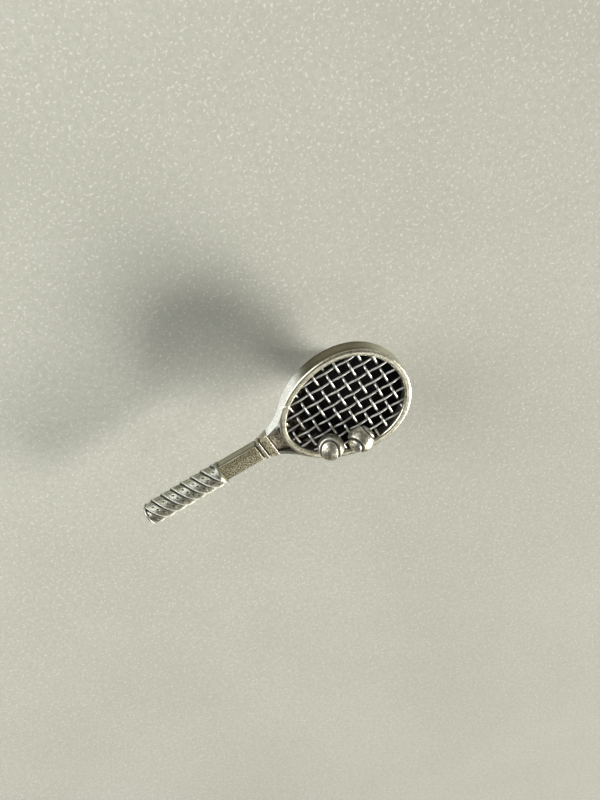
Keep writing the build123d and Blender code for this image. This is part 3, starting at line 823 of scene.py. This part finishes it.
# patina: a light even coat, plus painted shade in a band along the grip's top
patina_and_shade = np.clip(0.25 + 0.6 * step01(np.abs(T - 1.9), 0.85, 0.25) * step01(g, 0.35, 0.6), 0, 1) * (1 - crest) * (1 - lamp_side_highlight)
gr = 0.5 * step01(np.abs(T - 1.8), 1.0, 0.4) * (1 - crest)
# frosted white on the upper side's crests and on the lamp side: painted highlight
frost_and_highlight = 1.0 * crest * step01(T, 0.2, 0.5) * step01(-T, -1.75, -1.25) + 0.7 * lamp_side_highlight * step01(g, 0.28, 0.5) * (1 - np.minimum(groove, 1))
add("grip_sleeve_wrapped", p, capped(len(xs), NTH), "racket", ["grip_sleeve"], M_grip, hollow_and_shade=hollow_and_shade,
    wear_and_highlight=wear_and_highlight, patina_and_shade=patina_and_shade, grit=gr, frost_and_highlight=frost_and_highlight)


def ringed(name, node, prof, shades, n=128, grooves=()):
    """Collar or cap: prof is (x, r) points from the butt side on."""
    pts = fine(prof, 0.10, 5)
    xs, rs = np.array([q[0] for q in pts]), np.array([q[1] for q in pts])
    th = np.linspace(0, 2 * np.pi, n, endpoint=False)
    T, I = np.meshgrid(th, np.arange(len(xs)))
    r, X = rs[I], xs[I]
    y, z = r * np.cos(T), GRIP_Z + r * np.sin(T)
    p = np.stack([X, y, np.maximum(z, 0.0)], -1).reshape(-1, 3)
    hollow_and_shade = np.zeros(len(p))
    for gx, gr in grooves:
        hollow_and_shade = np.maximum(hollow_and_shade, step01(-np.abs(p[:, 0] - gx), -0.07, -0.02) * step01(-r.ravel(), -gr - 0.03, -gr))
    rim = step01(r.ravel(), shades - 0.10, shades) * (1 - hollow_and_shade)
    g = fbm(p, 3.0, 2)
    return add(name, p, capped(len(xs), n), "racket", [node], M_grip, hollow_and_shade=hollow_and_shade, wear_and_highlight=0.7 * rim * (0.5 + g),
               patina_and_shade=0.3 * g)


ringed("grip_collar_ring", "grip_collar",
       [(-21.25, 1.60), (-21.25, 1.76), (-21.19, 1.84), (-21.12, 1.85), (-21.08, 1.74), (-21.03, 1.84), (-20.96, 1.82),
        (-20.92, 1.70), (-20.87, 1.78), (-20.80, 1.68), (-20.80, 1.30)], 1.85, grooves=((-21.08, 1.76), (-20.92, 1.72)))
ringed("butt_cap_round", "butt_cap",
       [(-34.20, 0.05), (-34.22, 0.80), (-34.30, 1.05), (-34.29, 1.26), (-34.18, 1.52), (-33.98, 1.70), (-33.84, 1.74),
        (-33.79, 1.60), (-33.70, 1.58), (-33.70, 0.8)], 1.72, grooves=((-33.78, 1.62),))

# ------------------------------------------------------------------ back plate
NR, NT = 46, 220
tt = np.linspace(0, 2 * np.pi, NT, endpoint=False)
a, b, kk = HEAD_IN
ox, oy = a * np.cos(tt), b * np.sin(tt) * (1 + kk * np.cos(tt))
dx, dy = -a * np.sin(tt), b * (np.cos(tt) * (1 + kk * np.cos(tt)) - kk * np.sin(tt) ** 2)
m = np.hypot(dx, dy)
ox, oy = ox + 0.17 * dy / m, oy - 0.17 * dx / m


def plate_rings(z, shares):
    return [np.stack([ox * s, oy * s, np.full(NT, z)], 1) for s in shares]


shares = np.linspace(0.02, 1.0, NR)
top_r, bot_r = plate_rings(0.985, shares), plate_rings(0.32, shares[::-1])
p = np.concatenate(top_r + bot_r)
is_top = np.arange(len(p)) < NR * NT
rad = np.concatenate([np.repeat(shares, NT), np.repeat(shares[::-1], NT)])
lumps = fbm(np.stack([p[:, 0], p[:, 1], 0 * p[:, 0]], 1), 0.9, 4)
keep = step01(rad, 1.0, 0.97)
bearing = np.degrees(np.arctan2(p[:, 1], p[:, 0]))
# lighter brown raised patches: residue near the throat, extended along the upper-left rim as a painted reflection
rim_side = step01(bearing, 96, 116) * step01(rad, 0.80, 0.92)
heel = np.maximum(step01(p[:, 0], -5.6, -7.6), 0.8 * rim_side) * step01(rad, 0.999, 0.95)
fine_l = fbm(np.stack([p[:, 0], p[:, 1], 0 * p[:, 0]], 1), 2.6, 3)
p[:, 2] += np.where(is_top, (lumps - 0.75) * 0.22 * keep + heel * (0.10 + 0.85 * np.maximum(fine_l - 0.38, 0)),
                    (0.5 - lumps) * 0.05 * keep)
faces = [tuple(q) for q in grid_faces(2 * NR, NT, flip=True)]
faces.append(tuple(range(NT)))
faces.append(tuple((2 * NR - 1) * NT + j for j in range(NT - 1, -1, -1)))
faces = [tuple(reversed(q)) for q in faces]
add("back_plate_blackened", p, faces, "racket", ["back_plate"], M_plate,
    wear_and_highlight=np.where(is_top, 0.85 * heel * step01(fine_l, 0.42, 0.60), 0.55), flat_angle=50)

# ------------------------------------------------------------------ post, pad and clutch
prof = fine([(0.80, 0.30), (1.80, 0.30), (1.80, 0.12), (1.68, 0.01), (1.30, 0.01), (1.24, 0.05), (1.18, 0.01), (0.80, 0.01)],
            0.06, 4, close=True)
v, f = lathe(prof[::-1], 96)
add("post_pad_solder", v, f, "racket", ["post_pad"], M_post, flat_angle=55)
post = fine([(0, 0.30), (0.78, 0.30), (0.78, 0.02), (0.66, 0.0), (0.55, -0.10), (0.55, -1.92), (0.38, -2.02), (0.38, -2.38),
             (0.55, -2.48), (0.55, -5.60), (0.47, -5.68), (0.47, -5.86), (0.55, -5.94), (0.55, -6.40), (0.34, -7.05),
             (0.10, -7.62), (0, -7.70)], 0.05, 4)
v, f = lathe([q for q in post], 72)
add("tack_post_pointed", v, f, "racket", ["tack_post"], M_post, flat_angle=60)

base = fine([(1.60, -1.90), (2.30, -1.90), (2.42, -1.98), (2.56, -1.90), (4.55, -1.90), (4.86, -2.02), (5.00, -2.28), (4.99, -2.58),
             (4.86, -2.70), (4.72, -2.62), (4.66, -2.46), (4.40, -2.40), (1.60, -2.40)], 0.07, 4, close=True)
v, f = lathe(base[::-1], 160, lambda r, z, th: (0.012 * np.cos(36 * th) if r > 4.9 else 0 * th) - (0.012 if r > 4.9 else 0))
dent = np.hypot(v[:, 0], v[:, 1])
pips = np.cos(12 * np.arctan2(v[:, 1], v[:, 0])) * np.exp(-((dent - 3.5) / 0.35) ** 2)
add("clutch_base_disc", v, f, "clutch_body", ["clutch_base"], M_nickel, flat_angle=60)

zz = np.linspace(-4.05, -6.90, 16)
waist = [(3.05 - 0.02 * math.sin(math.pi * (z + 4.05) / -2.85), z) for z in zz]
shell = fine([(2.50, -3.10), (3.20, -3.10), (3.40, -3.30), (3.40, -3.65)], 0.09, 4)[:-1] + [np.array((3.40, -3.62))]
shell += [np.array(q) for q in waist]
shell += fine([(3.05, -6.92), (3.40, -7.30), (3.40, -7.75), (3.20, -8.15), (2.80, -8.40), (1.30, -8.40), (1.22, -8.35), (0.90, -8.33),
               (0, -8.33)], 0.10, 4)[1:]
shell += [np.array(q) for q in ((0, -7.92), (2.38, -7.92), (2.48, -7.84), (2.50, -7.70), (2.50, -5.40))]


def knurl(r, z, th):
    if r > 2.9 and -6.75 < z < -4.2:
        return -0.045 * (0.5 + 0.5 * np.cos(54 * th))
    return 0 * th


v, f = lathe(shell, 216, knurl)
f = [tuple(reversed(q)) for q in f]
add("clutch_shell_knurled", v, f, "pull_cap", ["clutch_shell"], M_nickel, flat_angle=60)

for node, mat in (("cone_housing", M_brass), ("spring_washer", M_brass), ("ball_carrier", M_brass), ("clutch_spring", M_spring),
                  ("lock_ball_1", M_bearing), ("lock_ball_2", M_bearing), ("lock_ball_3", M_bearing)):
    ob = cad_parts[node]
    ob.data.materials.clear()
    ob.data.materials.append(mat)

# ------------------------------------------------------------------ floor
FLOOR_Z = -8.4
k = Nodes("floor_pale_speckled")
cloud = k.noise(28.0, 4.0, 0.55)
fleck = k.noise(2600.0, 2.5, 0.55)
fleck2 = k.noise(1300.0, 3.0, 0.6)
col = k.mix(k.ramp(cloud, 0.3, 0.7), srgb(176, 176, 165), srgb(183, 183, 173))
col = k.mix(k.ramp(fleck2, 0.35, 0.65, 0.0, 0.5), col, srgb(167, 166, 154))
col = k.mix(k.ramp(fleck, 0.54, 0.70, 0.0, 0.52), col, srgb(222, 222, 215))
M_floor = k.out(col, 0.72, 0.0, k.bump(k.noise(900.0, 5.0, 0.6), 0.25, 0.00006))
M_floor.node_tree.nodes["Principled BSDF"].inputs["Specular IOR Level"].default_value = 0.1
me = bpy.data.meshes.new("floor")
n = 24
gx = np.linspace(-900, 900, n + 1)
A, B = np.meshgrid(gx, gx, indexing="ij")
fv = np.stack([A.ravel(), B.ravel(), np.full(A.size, FLOOR_Z)], 1) * MM
me.from_pydata(fv.tolist(), [], grid_faces(n + 1, n + 1, wrap=False, flip=True)[:, ::-1].tolist())
me.update()
me.materials.append(M_floor)
floor = bpy.data.objects.new("floor", me)
bpy.context.scene.collection.objects.link(floor)

# ------------------------------------------------------------------ light
TARGET = Vector((-8.0, -1.0, 1.0)) * MM


def softbox(name, direction, dist, size_x, size_y, irradiance, color):
    """Area light; irradiance is what it gives a surface facing it at the target."""
    d = Vector(direction).normalized()
    li = bpy.data.lights.new(name, "AREA")
    li.shape = "RECTANGLE"
    li.size, li.size_y = size_x * MM, size_y * MM
    li.color = color
    li.energy = irradiance * math.pi * (dist * MM) ** 2
    ob = bpy.data.objects.new(name, li)
    ob.location = TARGET + d * dist * MM
    ob.rotation_mode = "QUATERNION"
    ob.rotation_quaternion = d.to_track_quat("Z", "Y")
    bpy.context.scene.collection.objects.link(ob)
    return ob


softbox("key_main", (0.585, -0.72, 0.40), 2000, 780, 540, 4.7, (1.0, 0.985, 0.94))
softbox("key_low", (0.36, -0.87, 0.31), 2000, 640, 440, 1.6, (1.0, 0.975, 0.92))
softbox("top_box", (-0.13, -0.52, 0.84), 2000, 750, 600, 0.25, (1.0, 0.99, 0.96))
softbox("left_window", (-0.62, 0.70, 0.36), 340, 340, 210, 3.2, (0.97, 0.99, 1.0))
softbox("right_fill", (0.80, 0.30, 0.45), 2000, 1000, 650, 0.15, (1.0, 0.97, 0.92))

world = bpy.data.worlds.new("studio")
bpy.context.scene.world = world
world.use_nodes = True
bg = world.node_tree.nodes["Background"]
tc = world.node_tree.nodes.new("ShaderNodeTexCoord")
sep = world.node_tree.nodes.new("ShaderNodeSeparateXYZ")
world.node_tree.links.new(tc.outputs["Generated"], sep.inputs[0])
mr = world.node_tree.nodes.new("ShaderNodeMapRange")
mr.inputs["From Min"].default_value, mr.inputs["From Max"].default_value = 0.0, 0.9
world.node_tree.links.new(sep.outputs["Z"], mr.inputs["Value"])
mx = world.node_tree.nodes.new("ShaderNodeMix")
mx.data_type = "RGBA"
mx.inputs[6].default_value = (0.60, 0.61, 0.59, 1)
mx.inputs[7].default_value = (0.20, 0.195, 0.165, 1)
world.node_tree.links.new(mr.outputs["Result"], mx.inputs[0])
world.node_tree.links.new(mx.outputs[2], bg.inputs["Color"])
bg.inputs["Strength"].default_value = 0.42
bpy.context.scene.view_settings.view_transform = "Standard"

# ------------------------------------------------------------------ camera
cam = bpy.data.cameras.new("camera")
cam.lens, cam.sensor_width, cam.clip_start, cam.clip_end = 29.25, 36.0, 0.001, 10.0
cam_ob = bpy.data.objects.new("camera", cam)
rot = Matrix((CAM_RIGHT, CAM_UP, CAM_BACK)).transposed()
cam_ob.matrix_world = Matrix.Translation(CAM_AT) @ rot.to_4x4()
bpy.context.scene.collection.objects.link(cam_ob)
bpy.context.scene.camera = cam_ob

# ------------------------------------------------------------------ finish: update the view layer
bpy.context.view_layer.update()
